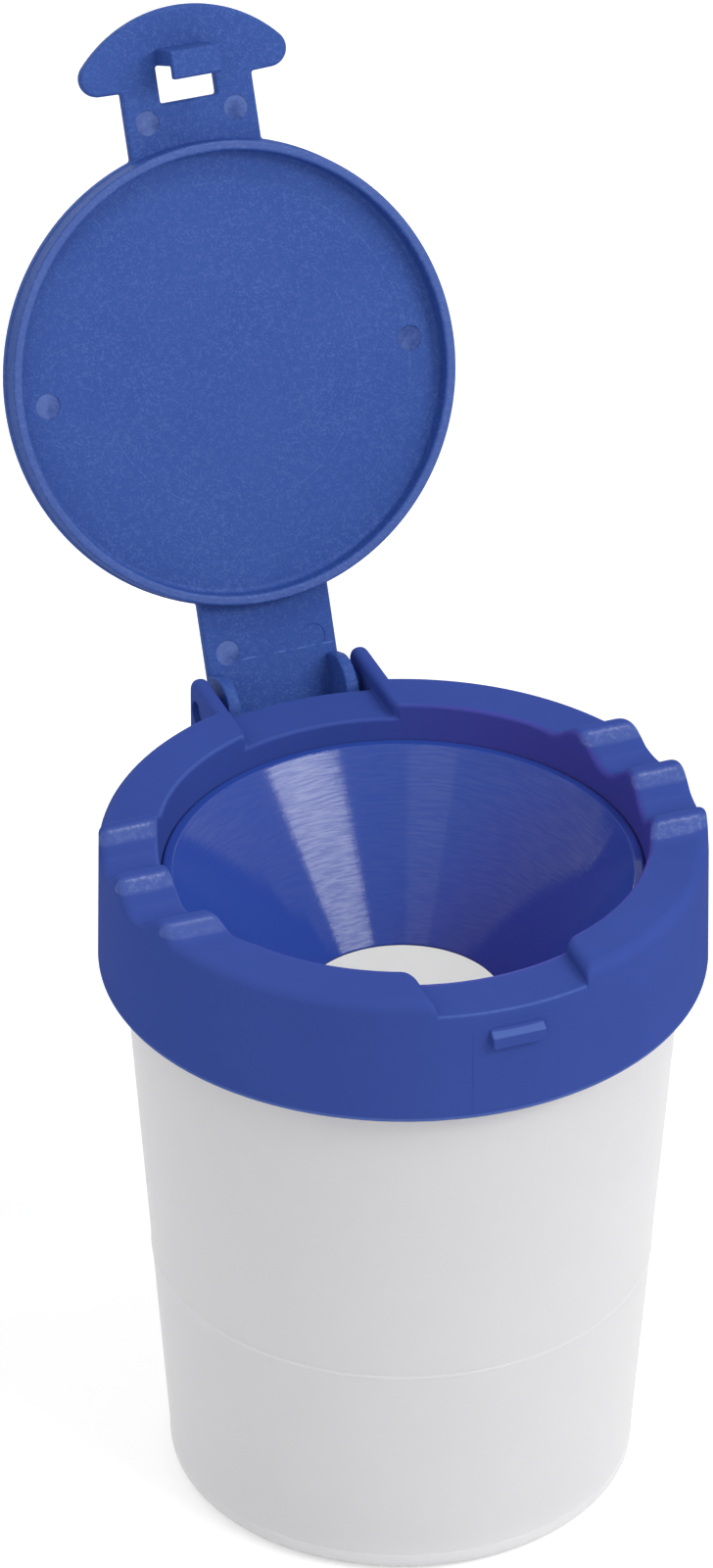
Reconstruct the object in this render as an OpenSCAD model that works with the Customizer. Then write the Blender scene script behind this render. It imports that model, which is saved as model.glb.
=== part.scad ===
// Brush washer with lid: a translucent cup, a push-on collar with brush rests,
// a funnel insert pressed into the collar, and a hinged lid with a snap latch.
// Millimetres. +Z is up, the hinge is on the +Y side and the latch on the -Y side.
// The origin is the centre of the cup's base. The lid is drawn open, on its stop.

/* [Cup] */
// Radius of the cup's wall, carried down to the base
cup_base_r = 32.4; // [28:0.1:36]
// Radius of the cup's lip, outside
cup_lip_r = 39.6; // [38:0.1:44]
// Height of the cup, base to lip
cup_h = 97; // [70:0.5:130]
// Thickness of the cup's wall
cup_wall = 1.3; // [0.9:0.1:2]
// Thickness of the cup's floor
cup_floor = 1.9; // [1.2:0.1:4]
// Rounding where the cup's wall meets its base, outside
cup_foot_r = 2.6; // [1:0.1:4]
// Height of the fill line above the base
fill_line_z = 35.2; // [20:0.1:60]
// How far the fill line stands out of the wall
fill_line_proud = 0.3; // [0.1:0.05:0.6]
// Width of the fill line
fill_line_w = 0.8; // [0.4:0.1:2]

/* [Collar] */
// How far the collar's skirt reaches down over the cup
skirt_h = 14.7; // [8:0.1:24]
// Thickness of the skirt at its foot
skirt_wall = 2.1; // [1.4:0.1:3]
// Draft of the skirt: how much narrower it is at the top
skirt_draft = 0.3; // [0:0.05:1]
// Height of the rim above the cup's lip
rim_h = 4.3; // [3.4:0.1:7]
// Width of the rim, from the recess to the outside
rim_w = 8.1; // [7.3:0.1:8.4]
// Rounding of the rim's outer edge
rim_edge_r = 2.2; // [0.8:0.1:3]
// Rounding of the rim's inner edge
rim_lip_r = 0.5; // [0.2:0.1:1]
// Rounding of the outer ends of the brush rests' crests
crest_edge_r = 1.2; // [0.4:0.1:2]
// Draft of the recess wall
recess_draft = 0.35; // [0:0.05:0.8]
// Thickness of the recess wall
recess_wall = 1.8; // [1.2:0.1:2]
// Thickness of the plug that fits inside the cup's mouth
plug_wall = 1.3; // [0.9:0.1:1.6]
// How far the plug reaches down into the cup
plug_h = 7; // [4:0.5:12]
// Clearance between the collar and the cup, each side
cup_clear = 0.3; // [0.15:0.05:0.4]
// Thickness of the deck over the core groove
deck_skin = 1.6; // [1:0.1:1.9]

/* [Brush rests] */
// Height of a crest above the rim
crest_h = 2; // [0.5:0.1:4]
// Depth of a groove, crest to trough
groove_depth = 3.4; // [2:0.1:5]
// Distance from one crest to the next
crest_pitch = 12.5; // [10:0.1:16]
// Number of crests on each side
crest_count = 3; // [2:1:4]
// Where the middle crest stands, towards the hinge
crest_mid_y = 1.2; // [-4:0.1:4]
// Radius of a crest
crest_r = 2.2; // [1:0.1:3]

/* [Slots for the lid's strap] */
// Half the width of the slots
slot_half_w = 10.8; // [9.9:0.1:14]
// Depth of the slots below the rim
slot_depth = 2.3; // [1.8:0.1:2.5]
// Rounding along the top of the latch slot's walls
slot_edge_r = 1.5; // [0.5:0.1:2]

/* [Hinge] */
// Distance of the hinge axis behind the collar's wall
hinge_out = 4.5; // [4.2:0.1:6]
// Height of the lid's inner face above the hinge axis
hinge_drop = 2.6; // [2:0.1:3]
// Radius of the hinge pins
pin_r = 1.8; // [1.2:0.1:2.2]
// Running clearance around the pins
pin_clear = 0.05; // [0.02:0.01:0.1]
// Thickness of an ear
ear_t = 2.3; // [1.8:0.1:4]
// How far an ear reaches behind the hinge axis
ear_back = 3.3; // [3:0.1:4]
// Rounding of an ear's top corner
ear_r = 1.8; // [0.5:0.1:2.4]
// How far an ear's back edge reaches below the hinge axis
ear_drop = 4.6; // [4:0.1:8]
// Height of the web that carries an ear, along the collar's wall
ear_web_h = 4.5; // [2:0.5:8]
// How far a pin stops short of the ear's outer face
pin_short = 0.8; // [0.2:0.1:1.5]
// Radius of the lugs that carry the pins
lug_r = 4.5; // [3.8:0.1:4.6]
// Thickness of a lug
lug_t = 1.8; // [1.4:0.1:4]
// How far the lid opens from closed, in degrees
open_angle = 114; // [95:1:125]
// Gap between the lid's heels and the collar when it stands open
stop_gap = 0.15; // [0.1:0.05:0.4]
// Length of the flat on a heel
heel_flat = 1.5; // [0.5:0.1:1.6]

/* [Lid] */
// Thickness of the lid
lid_t = 1.6; // [1.2:0.1:2]
// Gap between the lid's edge and the foot of the recess
lid_clear = 0.35; // [0.2:0.05:0.8]
// Gap between the strap and the slot floor when closed
strap_gap = 0.3; // [0.2:0.05:0.6]
// Half the width of the strap
strap_half_w = 9.7; // [8:0.1:9.7]
// Width of the sealing bead under the lid
bead_w = 1.45; // [1:0.05:2.5]
// How far the sealing bead is set in from the lid's edge
bead_inset = 0.25; // [0:0.05:1]
// Gap under the sealing bead when closed
bead_gap = 0.4; // [0.3:0.05:1]
// Edge chamfer of the sealing bead
bead_chamfer = 0.3; // [0.1:0.05:0.4]

/* [Latch and grip] */
// How far the nub stands out of the collar's wall
nub_out = 1.3; // [0.8:0.1:2]
// Height of the nub
nub_h = 2.2; // [1.2:0.1:3]
// Half the width of the nub
nub_half_w = 3.8; // [2:0.1:5]
// Distance from the rim's top down to the top of the nub
nub_down = 5.4; // [4.5:0.1:7]
// Gap between the nub and the hook's lip, when closed
catch_gap = 0.3; // [0.1:0.05:0.6]
// How far the hook's lip reaches under the nub
catch_bite = 0.8; // [0.3:0.1:0.9]
// Thickness of the hook's lip
lip_t = 1.3; // [0.8:0.1:2]
// Thickness of the hook
hook_t = 2.7; // [1.6:0.1:4]
// Half the width of the hook
hook_half_w = 4; // [2.5:0.1:4]
// Gap between the hook's stem and the nub
stem_gap = 0.9; // [0.2:0.1:1.2]
// Half the width of the window above the lip
window_half_w = 4.15; // [4.05:0.05:6]
// Length of the window
window_len = 5.3; // [3:0.1:6]
// Distance from the hook's stem to the underside of the grip's lobes
lobe_down = 2.9; // [1:0.1:5]
// Radius of the grip's lobes
lobe_r = 2.6; // [1.5:0.1:4]
// Distance of a lobe's centre from the middle of the strap
lobe_x = 12.7; // [10:0.1:18]
// Length of the grip, underside of the lobes to tip
grip_len = 10.8; // [9:0.1:16]

/* [Funnel] */
// Thickness of the funnel
funnel_t = 1.5; // [1:0.1:2.2]
// Radius of the hole at the foot of the funnel
funnel_hole_r = 14; // [8:0.1:20]
// Depth of the funnel, flange to hole
funnel_depth = 21.7; // [10:0.1:40]
// Width of the funnel's flat flange
flange_w = 1.35; // [1:0.05:2]
// Gap around the flange
flange_gap = 0.2; // [0.1:0.05:0.4]
// Depth of the flange below the rim
flange_down = 5.3; // [5:0.1:7]
// Height of the hole's edge
edge_h = 0.3; // [0.2:0.1:1]
// Thickness of the ledge that carries the flange
ledge_t = 1.4; // [1:0.1:2]

/* [Hidden] */
$fn = 128;
cut = 1;
trim = 0.02;
arc_steps = 6;

blue = [0.15, 0.26, 0.58];
lid_blue = [0.18, 0.30, 0.62];
milky = [0.86, 0.87, 0.87, 0.6];

// Cup
cup_slope = (cup_lip_r - cup_base_r) / cup_h;
function cup_r(z) = cup_base_r + cup_slope * z;
cup_corner_r = 3;

// Collar
skirt_bore_r = cup_lip_r + cup_clear;
collar_foot_z = cup_h - skirt_h;
collar_foot_r = skirt_bore_r + skirt_wall;
collar_top_r = collar_foot_r - skirt_draft;
rim_top = cup_h + rim_h;
recess_top_r = collar_top_r - rim_w;
recess_foot_r = recess_top_r - recess_draft;
flange_top = rim_top - flange_down;
// The skirt narrows up to the height of the flange, and is straight above it
function collar_r(z) = z > flange_top ? collar_top_r
    : collar_foot_r - skirt_draft * (z - collar_foot_z) / (flange_top - collar_foot_z);
function recess_r(z) = recess_foot_r + recess_draft * (z - flange_top) / flange_down;
ledge_top = flange_top - funnel_t;
ledge_foot = ledge_top - ledge_t;
ledge_bore_r = recess_foot_r - flange_gap - flange_w;
core_in_r = recess_foot_r + recess_wall;
core_top = rim_top - slot_depth - deck_skin;
plug_foot = cup_h - plug_h;
plug_top_r = cup_lip_r - cup_wall - cup_clear;
plug_foot_r = cup_r(plug_foot) - cup_wall - cup_clear;
core_out_r = plug_foot_r - plug_wall;

// Brush rests
crest_top = rim_top + crest_h;
trough_z = crest_top - groove_depth;
half_pitch = crest_pitch / 2;
// The flank between a crest and a groove leans at the angle at which crest, flank
// and groove meet smoothly: the groove's radius follows from it.
flank_angle = 40;
flank_rise = 1 - cos(flank_angle);
// Crest and groove radii together, and the straight flank between them
radii_sum = (half_pitch * tan(flank_angle) - groove_depth)
    / (sin(flank_angle) * tan(flank_angle) - flank_rise);
groove_r = radii_sum - crest_r;
first_crest_y = crest_mid_y - crest_pitch * (crest_count - 1) / 2;
last_crest_y = first_crest_y + crest_pitch * (crest_count - 1);
// The outer flanks of the first and last crests run down to the rim
flank_run = crest_r * sin(flank_angle) + (crest_h - crest_r * flank_rise) / tan(flank_angle);
rest_x = recess_top_r * cos(asin((last_crest_y + flank_run) / collar_top_r)) - rim_w;
// The brush rests stand on the deck, above the core groove and the cup's lip
rest_foot = (core_top + trough_z) / 2;

// Lid, seen closed: v runs from the hinge axis towards the latch, w is up
slot_floor = rim_top - slot_depth;
hinge_y = collar_top_r + hinge_out;
hinge_z = slot_floor + strap_gap - hinge_drop;
lid_r = recess_foot_r - lid_clear;
bead_h = slot_floor + strap_gap - bead_gap - flange_top;
bead_out_r = lid_r - bead_inset;
strap_back = ear_back - 0.3;
ear_out_x = slot_half_w + ear_t;
wall_at_lug = sqrt(pow(collar_r(hinge_z), 2) - pow(strap_half_w - lug_t, 2));
heel_reach = hinge_y - wall_at_lug - stop_gap;

// Funnel: the cone's outside runs parallel to its inside
flange_r = recess_foot_r - flange_gap;
under_r = ledge_bore_r - flange_gap;
cone_foot = flange_top - funnel_depth;
edge_foot = cone_foot - edge_h;
cone_spread = (ledge_bore_r - funnel_hole_r) / funnel_depth;
side_t = funnel_t * sqrt(1 + pow(cone_spread, 2));
function side_r(z) = funnel_hole_r + side_t + cone_spread * (z - cone_foot);

// Latch
nub_top = rim_top - nub_down;
nub_foot = nub_top - nub_h;
nub_y = collar_r(nub_top) + nub_out;
lip_top_w = nub_foot - catch_gap - hinge_z;
lip_foot_w = lip_top_w - lip_t;
lip_v = hinge_y + nub_y - catch_bite;
stem_v = hinge_y + nub_y + stem_gap;
window_v = stem_v - window_len;
lobe_v = stem_v - lobe_down;
grip_tip_v = lobe_v + grip_len;
// The grip's outer arc touches both lobes and the tip
lobe_c = lobe_v + lobe_r;
tip_rise = grip_tip_v - lobe_c;
grip_r = (pow(lobe_x, 2) + pow(tip_rise, 2) - pow(lobe_r, 2)) / (2 * (tip_rise - lobe_r));

// Points along an arc, from one angle to another
function arc(cx, cy, r, from, to, steps = arc_steps) =
    [for (i = [0 : steps]) let (a = from + (to - from) * i / steps)
        [cx + r * cos(a), cy + r * sin(a)]];

module cup() {
    color(milky)
    union() {
        rotate_extrude() polygon(cup_profile());
        translate([0, 0, fill_line_z - fill_line_w / 2])
        difference() {
            cylinder(r = cup_r(fill_line_z) + fill_line_proud, h = fill_line_w);
            translate([0, 0, -cut])
                cylinder(r = cup_r(fill_line_z) - cup_wall / 2, h = fill_line_w + 2 * cut);
        }
    }
}

function cup_profile() = concat(
    [[0, 0]],
    arc(cup_r(cup_foot_r) - cup_foot_r, cup_foot_r, cup_foot_r, -90, 0),
    [[cup_lip_r, cup_h], [cup_lip_r - cup_wall, cup_h]],
    arc(cup_r(cup_floor + cup_corner_r) - cup_wall - cup_corner_r,
        cup_floor + cup_corner_r, cup_corner_r, 0, -90),
    [[0, cup_floor]]);

module collar() {
    color(blue)
    difference() {
        union() {
            difference() {
                rotate_extrude() polygon(ring_profile(rim_top));
                rest_space();
            }
            brush_rests();
            ears();
            nub();
        }
        recess();
        hinge_slot();
        latch_slot();
        ear_bores();
    }
}

// The top of the ring: a rounded outer edge and a rounded inner one. The recess,
// cut last, trims the inner side.
function rim_edge(top, edge_r) = concat(
    arc(collar_r(top - edge_r) - edge_r, top - edge_r, edge_r, 0, 90),
    arc(recess_r(top - rim_lip_r) + rim_lip_r - trim, top - rim_lip_r, rim_lip_r, 90, 180),
    [[ledge_bore_r, top - rim_lip_r]]);

module recess() {
    rotate_extrude() polygon([
        [0, flange_top], [recess_foot_r, flange_top],
        [recess_r(crest_top + cut), crest_top + cut], [0, crest_top + cut]]);
    translate([0, 0, ledge_top]) cylinder(r = recess_foot_r, h = funnel_t + trim);
}

// Cross-section of the collar's ring, up to a given top
function ring_profile(top) = concat(
    [[skirt_bore_r, collar_foot_z], [collar_foot_r, collar_foot_z], [collar_top_r, flange_top]],
    rim_edge(top, rim_edge_r),
    [[ledge_bore_r, ledge_foot],
     [core_in_r, ledge_foot], [core_in_r, core_top],
     [core_out_r, core_top], [core_out_r, plug_foot],
     [plug_foot_r, plug_foot], [plug_top_r, cup_h],
     [skirt_bore_r, cup_h]]);

// The wave of crests and grooves, closed below inside the deck
function wave_points() = concat(
    [[first_crest_y - flank_run, rest_foot], [first_crest_y - flank_run, rim_top]],
    [for (i = [0 : crest_count - 1]) let (y = first_crest_y + i * crest_pitch)
        each concat(
            [for (a = [flank_angle : -flank_angle / arc_steps : -flank_angle])
                [y - crest_r * sin(a), crest_top - crest_r * (1 - cos(a))]],
            i == crest_count - 1 ? []
                : [for (a = [-flank_angle : flank_angle / arc_steps : flank_angle])
                    [y + half_pitch + groove_r * sin(a), trough_z + groove_r * (1 - cos(a))]])],
    [[last_crest_y + flank_run, rim_top], [last_crest_y + flank_run, rest_foot]]);

module across(x0, x1) {
    // Stands a (y, z) outline up and runs it along X
    translate([x0, 0, 0]) rotate([90, 0, 90]) linear_extrude(height = x1 - x0) children();
}

// What the rim leaves free for the brush rests
module rest_space() {
    for (side = [0, 1])
        mirror([side, 0, 0])
            across(rest_x, collar_foot_r + cut)
                translate([first_crest_y - flank_run, rest_foot])
                    square([last_crest_y - first_crest_y + 2 * flank_run, crest_top + cut - rest_foot]);
}

module brush_rests() {
    intersection() {
        rotate_extrude() polygon(rest_profile());
        for (side = [0, 1])
            mirror([side, 0, 0]) across(rest_x, collar_foot_r + cut) polygon(wave_points());
    }
}

function rest_profile() = concat(
    [[ledge_bore_r, rest_foot], [collar_top_r, rest_foot]],
    rim_edge(crest_top, crest_edge_r));

module ears() {
    difference() {
        for (side = [0, 1])
            mirror([side, 0, 0]) across(slot_half_w, ear_out_x) polygon(ear_points());
        // The ears start inside the skirt's wall, clear of the cup
        translate([0, 0, collar_foot_z - cut])
            cylinder(r = skirt_bore_r + skirt_wall / 2, h = rim_top + crest_h);
    }
}

function ear_points() = concat(
    [[recess_top_r, rim_top]],
    [[recess_top_r, hinge_z - ear_drop - ear_web_h]],
    [[collar_top_r, hinge_z - ear_drop - ear_web_h]],
    [[hinge_y + ear_back, hinge_z - ear_drop]],
    arc(hinge_y + ear_back - ear_r, rim_top - ear_r, ear_r, 0, 90));

module ear_bores() {
    for (side = [0, 1])
        mirror([side, 0, 0])
            translate([slot_half_w - cut, hinge_y, hinge_z])
                rotate([0, 90, 0]) cylinder(r = pin_r + pin_clear, h = ear_t + 2 * cut);
}

module hinge_slot() {
    translate([-slot_half_w, recess_foot_r / 2, slot_floor])
        cube([2 * slot_half_w, hinge_y, slot_depth + crest_h + cut]);
}

module latch_slot() {
    translate([0, -recess_foot_r / 2, 0])
        rotate([90, 0, 0])
            linear_extrude(height = collar_foot_r) polygon(concat(
                [[-slot_half_w, slot_floor], [slot_half_w, slot_floor]],
                arc(slot_half_w + slot_edge_r, rim_top - slot_edge_r, slot_edge_r, 180, 90),
                [[slot_half_w + slot_edge_r, rim_top + cut], [-slot_half_w - slot_edge_r, rim_top + cut]],
                arc(-slot_half_w - slot_edge_r, rim_top - slot_edge_r, slot_edge_r, 90, 0)));
}

module nub() {
    // Flat front; the lower face is square, so that the lip holds
    across(-nub_half_w, nub_half_w)
        polygon([[-nub_y, nub_foot], [-skirt_bore_r, nub_foot],
                 [-skirt_bore_r, nub_top + nub_out / 4], [-nub_y, nub_top - nub_out / 4]]);
}

module funnel() {
    color(blue)
    rotate_extrude() polygon([
        [funnel_hole_r, edge_foot], [side_r(edge_foot), edge_foot],
        [under_r, cone_foot + (under_r - side_r(cone_foot)) / cone_spread], [under_r, ledge_top],
        [flange_r, ledge_top], [flange_r, flange_top],
        [ledge_bore_r, flange_top], [funnel_hole_r, cone_foot]]);
}

module lid() {
    color(lid_blue)
    translate([0, hinge_y, hinge_z])
        rotate([-open_angle, 0, 0]) {
            difference() {
                union() {
                    lid_plate();
                    hinge_lugs();
                    latch_hook();
                }
                latch_window();
            }
        }
}

// A (x, v) outline on the lid's plate, thickened upwards from its inner face
module on_plate() {
    translate([0, 0, hinge_drop]) mirror([0, 1, 0]) linear_extrude(height = lid_t) children();
}

module lid_plate() {
    translate([0, -hinge_y, hinge_drop]) cylinder(r = lid_r, h = lid_t);
    translate([0, -hinge_y, hinge_drop - bead_h]) sealing_bead();
    on_plate() translate([-strap_half_w, -strap_back])
        square([2 * strap_half_w, lobe_c + strap_back]);
    on_plate() grip_outline();
}

module sealing_bead() {
    rotate_extrude() polygon([
        [bead_out_r - bead_w + bead_chamfer, 0], [bead_out_r - bead_chamfer, 0],
        [bead_out_r, bead_chamfer], [bead_out_r, bead_h + lid_t / 2],
        [bead_out_r - bead_w, bead_h + lid_t / 2], [bead_out_r - bead_w, bead_chamfer]]);
}

// A mushroom's outline: a flat underside, a round lobe at each end, and one wide arc
// that touches both lobes
module grip_outline() {
    arc_y = grip_tip_v - grip_r;
    lean = atan2(lobe_c - arc_y, lobe_x);
    polygon(concat(
        arc(lobe_x, lobe_c, lobe_r, -90, lean, 2 * arc_steps),
        arc(0, arc_y, grip_r, lean, 180 - lean, 4 * arc_steps),
        arc(-lobe_x, lobe_c, lobe_r, 180 - lean, 270, 2 * arc_steps)));
}

module hinge_lugs() {
    for (side = [0, 1])
        mirror([side, 0, 0]) {
            translate([strap_half_w - lug_t, 0, 0]) rotate([0, 90, 0])
                cylinder(r = pin_r, h = lug_t + ear_out_x - pin_short - strap_half_w);
            across(strap_half_w - lug_t, strap_half_w) mirror([1, 0]) polygon(lug_points());
            across(strap_half_w - lug_t, strap_half_w) mirror([1, 0]) polygon(heel_points());
        }
}

// A lug is round about the hinge axis, and runs straight up to the plate on both sides
function lug_points() = concat(
    [[-strap_back, hinge_drop + lid_t / 2]],
    arc(0, 0, lug_r, 270 - asin(strap_back / lug_r), 360, 4 * arc_steps),
    [[lug_r, hinge_drop + lid_t / 2]]);

// The heel: its flat lies along the collar's wall when the lid stands open
function heel_points() =
    let (to_wall = [cos(open_angle), -sin(open_angle)], down = [-sin(open_angle), -cos(open_angle)])
    [[0, 0], lug_r * [to_wall[0] * 0.8 - down[0] * 0.6, to_wall[1] * 0.8 - down[1] * 0.6],
     heel_reach * to_wall, heel_reach * to_wall + heel_flat * down, heel_flat * down];

module latch_hook() {
    across(-hook_half_w, hook_half_w) mirror([1, 0])
        polygon([[stem_v + hook_t, hinge_drop + lid_t / 2], [stem_v, hinge_drop + lid_t / 2],
                 [stem_v, lip_top_w], [lip_v, lip_top_w], [lip_v, lip_foot_w + lip_t / 3],
                 [lip_v + lip_t / 3, lip_foot_w], [stem_v + hook_t, lip_foot_w]]);
}

module latch_window() {
    translate([-window_half_w, -stem_v, hinge_drop - cut])
        cube([2 * window_half_w, window_len, lid_t + 2 * cut]);
}

cup();
collar();
funnel();
lid();
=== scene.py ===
"""Brush washer with lid: the looks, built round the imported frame.

Lengths are millimetres in the classes below, and metres in Blender.
"""
import logging
import math
from dataclasses import dataclass
from enum import Enum
from typing import Callable, Sequence

import bmesh
import bpy
from mathutils import Matrix, Vector
from mathutils.geometry import tessellate_polygon


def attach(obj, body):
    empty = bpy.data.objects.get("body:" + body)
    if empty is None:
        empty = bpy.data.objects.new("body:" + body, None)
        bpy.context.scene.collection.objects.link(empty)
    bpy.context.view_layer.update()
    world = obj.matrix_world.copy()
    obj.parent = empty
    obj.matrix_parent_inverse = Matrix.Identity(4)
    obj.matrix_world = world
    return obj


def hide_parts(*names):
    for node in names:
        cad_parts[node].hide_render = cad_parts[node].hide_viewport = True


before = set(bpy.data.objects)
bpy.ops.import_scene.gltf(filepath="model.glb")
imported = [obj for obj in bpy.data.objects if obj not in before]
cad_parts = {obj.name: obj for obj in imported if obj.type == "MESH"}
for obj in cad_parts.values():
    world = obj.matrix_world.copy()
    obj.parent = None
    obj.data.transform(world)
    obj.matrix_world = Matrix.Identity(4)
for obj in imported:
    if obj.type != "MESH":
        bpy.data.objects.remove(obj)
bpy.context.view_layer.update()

log = logging.getLogger("brush_washer")

MM = 0.001
IMAGE_HEIGHT = 1600
SENSOR_MM = 36.0
FLAT_ANGLE = math.radians(34)
WELD_MM = 0.0005

Point = tuple[float, float]
Tone = tuple[float, float, float]
Span = tuple[float, float]
Parts = dict[str, bpy.types.NodeSocket]
Corner = tuple[float, float, float]


def arc(cx: float, cy: float, radius: float, start: float, end: float, steps: int) -> list[Point]:
    """Points along an arc.

    Args:
        cx, cy: the centre.
        radius: the arc's radius.
        start, end: angles in degrees.
        steps: how many segments.

    Returns:
        steps + 1 points, both ends included.
    """
    turns = [math.radians(start + (end - start) * i / steps) for i in range(steps + 1)]
    return [(cx + radius * math.cos(a), cy + radius * math.sin(a)) for a in turns]


def rounded(corners: Sequence[Corner], steps: int = 4, closed: bool = True) -> list[Point]:
    """Rounds the corners of an outline.

    Args:
        corners: x, y and the rounding radius of each corner; radius 0 keeps one sharp point.
        steps: segments in each rounding.
        closed: whether the last corner joins the first.

    Returns:
        The outline's points, in the same order.
    """
    out: list[Point] = []
    count = len(corners)
    for i, (x, y, radius) in enumerate(corners):
        at_end = not closed and i in (0, count - 1)
        if radius <= 0 or at_end:
            out.append((x, y))
            continue
        here = Vector((x, y))
        before = (Vector(corners[i - 1][:2]) - here).normalized()
        after = (Vector(corners[(i + 1) % count][:2]) - here).normalized()
        half = before.angle(after) / 2
        centre = here + (before + after).normalized() * (radius / math.sin(half))
        first = here + before * (radius / math.tan(half))
        last = here + after * (radius / math.tan(half))
        turn = (first - centre).angle_signed(last - centre)
        start = math.atan2(first.y - centre.y, first.x - centre.x)
        for k in range(steps + 1):
            a = start - turn * k / steps
            out.append((centre.x + radius * math.cos(a), centre.y + radius * math.sin(a)))
    return out


class Draft:
    """Vertices in millimetres and faces, gathered before they become a mesh."""

    def __init__(self) -> None:
        """Starts empty."""
        self.points: list[Vector] = []
        self.faces: list[tuple[int, ...]] = []

    def loop(self, points: Sequence[Vector]) -> list[int]:
        """Adds points and returns their numbers."""
        first = len(self.points)
        self.points.extend(points)
        return list(range(first, first + len(points)))

    def bridge(self, low: Sequence[int], high: Sequence[int], closed: bool = True) -> None:
        """Adds the quads between two loops of as many points.

        Args:
            low, high: the numbers of the loops' points.
            closed: whether the loops' ends meet.
        """
        count = len(low)
        for i in range(count if closed else count - 1):
            j = (i + 1) % count
            self.faces.append((low[i], low[j], high[j], high[i]))

    def cap(self, outer: Sequence[int], holes: Sequence[Sequence[int]] = ()) -> None:
        """Fills a flat loop, with holes, by triangles.

        Args:
            outer: the numbers of the outer loop's points.
            holes: those of each hole.
        """
        loops = [list(outer), *[list(h) for h in holes]]
        numbers = [n for one in loops for n in one]
        for tri in tessellate_polygon([[self.points[n] for n in one] for one in loops]):
            self.faces.append(tuple(numbers[i] for i in tri))

    def revolve(self, section: Sequence[Point], steps: int, centre: Point = (0.0, 0.0)) -> None:
        """Turns a closed section of (radius, height) points about Z.

        Args:
            section: the section's points; a radius of 0 lies on the axis.
            steps: segments round the axis.
            centre: where the axis stands.
        """
        turns = [2 * math.pi * k / steps for k in range(steps)]
        loops = [self.loop([Vector((centre[0] + r * math.cos(a), centre[1] + r * math.sin(a), z))
                            for a in turns]) for r, z in section]
        for i, low in enumerate(loops):
            self.bridge(low, loops[(i + 1) % len(loops)])

    def finish(self, name: str) -> bpy.types.Object:
        """Makes the object, with welded points and outward faces.

        Args:
            name: the object's name.

        Returns:
            The new object, linked to the scene.
        """
        mesh = bpy.data.meshes.new(name)
        mesh.from_pydata([p * MM for p in self.points], [], self.faces)
        work = bmesh.new()
        work.from_mesh(mesh)
        bmesh.ops.remove_doubles(work, verts=work.verts, dist=WELD_MM * MM)
        bmesh.ops.dissolve_degenerate(work, edges=work.edges, dist=WELD_MM * MM)
        bmesh.ops.recalc_face_normals(work, faces=work.faces)
        work.to_mesh(mesh)
        work.free()
        made = bpy.data.objects.new(name, mesh)
        bpy.context.scene.collection.objects.link(made)
        return made


def inset(outline: Sequence[Point], by: float) -> list[Point]:
    """Moves an outline inwards along its corner normals.

    Args:
        outline: the points of a closed outline, anticlockwise; a hole is clockwise.
        by: how far, in the outline's units.

    Returns:
        As many points.
    """
    out = []
    count = len(outline)
    for i, point in enumerate(outline):
        here = Vector(point)
        a = (here - Vector(outline[i - 1])).normalized()
        b = (Vector(outline[(i + 1) % count]) - here).normalized()
        na, nb = Vector((-a.y, a.x)), Vector((-b.y, b.x))
        mid = (na + nb).normalized()
        reach = by / max(mid.dot(na), 0.5)
        out.append(tuple(here + mid * reach))
    return out


def prism(draft: Draft, outlines: Sequence[Sequence[Point]], low: float, high: float,
          edges: tuple[float, float], lay: Callable[[float, float, float], Vector], steps: int = 3) -> None:
    """Adds a prism with rounded edges.

    Args:
        draft: where the faces go.
        outlines: the outer outline, anticlockwise, then any holes, clockwise.
        low, high: where the prism starts and ends along its own axis.
        edges: rounding radii at the low and the high end.
        lay: turns an outline's x and y and a height into a place.
        steps: segments in each rounding.
    """
    loops_low, loops_high = [], []
    for outline in outlines:
        rings = []
        for k in range(steps + 1):
            a = math.pi / 2 * k / steps
            rings.append((edges[0] * (1 - math.sin(a)), low + edges[0] * (1 - math.cos(a))))
        for k in range(steps + 1):
            a = math.pi / 2 * k / steps
            rings.append((edges[1] * (1 - math.cos(a)), high - edges[1] * (1 - math.sin(a))))
        numbers = [draft.loop([lay(x, y, height) for x, y in inset(outline, by)]) for by, height in rings]
        for a, b in zip(numbers, numbers[1:]):
            draft.bridge(a, b)
        loops_low.append(numbers[0])
        loops_high.append(numbers[-1])
    draft.cap(loops_low[0], loops_low[1:])
    draft.cap(loops_high[0], loops_high[1:])


def flat_lay(x: float, y: float, height: float) -> Vector:
    """Lays an outline flat: its height is Z."""
    return Vector((x, y, height))


def side_lay(x: float, y: float, height: float) -> Vector:
    """Stands an outline up: its x runs along Y, its y along Z, and its height along X."""
    return Vector((height, x, y))


def fuse(base: bpy.types.Object, others: Sequence[bpy.types.Object],
         operation: str = "UNION") -> bpy.types.Object:
    """Joins or cuts solids into one mesh.

    Args:
        base: the object that stays.
        others: the objects that are joined to it or cut from it, and then removed.
        operation: UNION or DIFFERENCE.

    Returns:
        The base object.
    """
    for other in others:
        step = base.modifiers.new("fuse", "BOOLEAN")
        step.operation = operation
        step.solver = "EXACT"
        step.object = other
    bake(base)
    for other in others:
        bpy.data.meshes.remove(other.data)
    return base


def bake(piece: bpy.types.Object) -> None:
    """Applies the piece's modifiers to its mesh."""
    bpy.context.view_layer.update()
    ready = piece.evaluated_get(bpy.context.evaluated_depsgraph_get())
    mesh = bpy.data.meshes.new_from_object(ready)
    mesh.name = piece.name
    piece.modifiers.clear()
    piece.data = mesh


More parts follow.
